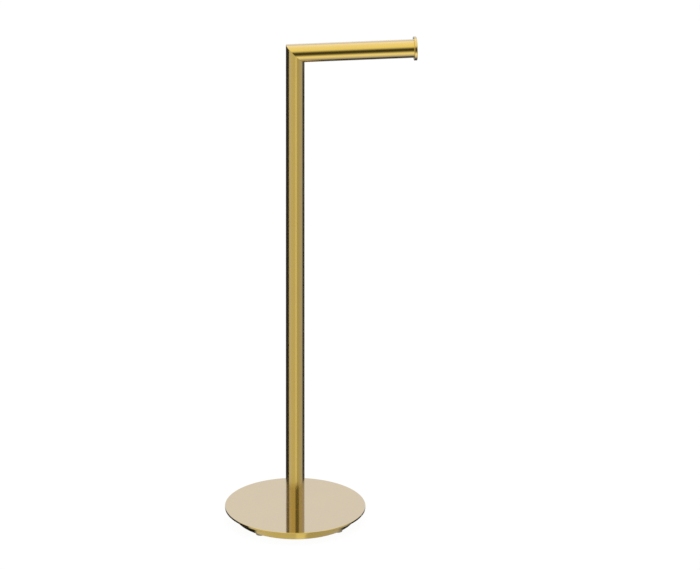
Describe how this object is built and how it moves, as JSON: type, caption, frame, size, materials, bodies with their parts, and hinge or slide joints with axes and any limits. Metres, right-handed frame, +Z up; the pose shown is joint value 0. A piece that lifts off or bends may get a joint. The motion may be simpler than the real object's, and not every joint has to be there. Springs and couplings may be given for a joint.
{
  "type": "toilet paper holder",
  "caption": "Free-standing toilet paper holder: a weighted round base, an upright tube and a mitred level arm with an end disc that keeps the roll on.",
  "frame": {"origin": "on the floor, under the axis of the upright tube, at the centre of the round base and its feet", "axes": "+Z up along the upright tube, +X along the arm towards its end disc, +Y to the left of the arm"},
  "size_m": [0.26, 0.19, 0.6998],
  "materials": {
    "gold_tube": "polished",
    "gold_plate": "polished",
    "gold_weight": "satin",
    "zinc_steel": "zinc plated",
    "plain_steel": "turned",
    "pale_silicone": "translucent, moulded",
    "foam_tape": "foam",
    "clear_nylon": "moulded"
  },
  "bodies": {
    "root": {"base_plate": "gold_plate", "base_weight": "gold_weight", "bond_pad": "foam_tape", "foot_1": "pale_silicone", "foot_2": "pale_silicone", "foot_3": "pale_silicone", "foot_4": "pale_silicone", "base_bolt": "zinc_steel", "spring_washer": "zinc_steel", "flat_washer": "zinc_steel", "locating_pin": "plain_steel", "post_gasket": "clear_nylon", "post_insert": "plain_steel", "post_tube": "gold_tube", "arm_tube": "gold_tube", "elbow_weld": "plain_steel", "end_disc": "gold_tube", "arm_insert": "plain_steel", "disc_stud": "zinc_steel"}
  },
  "joints": []
}
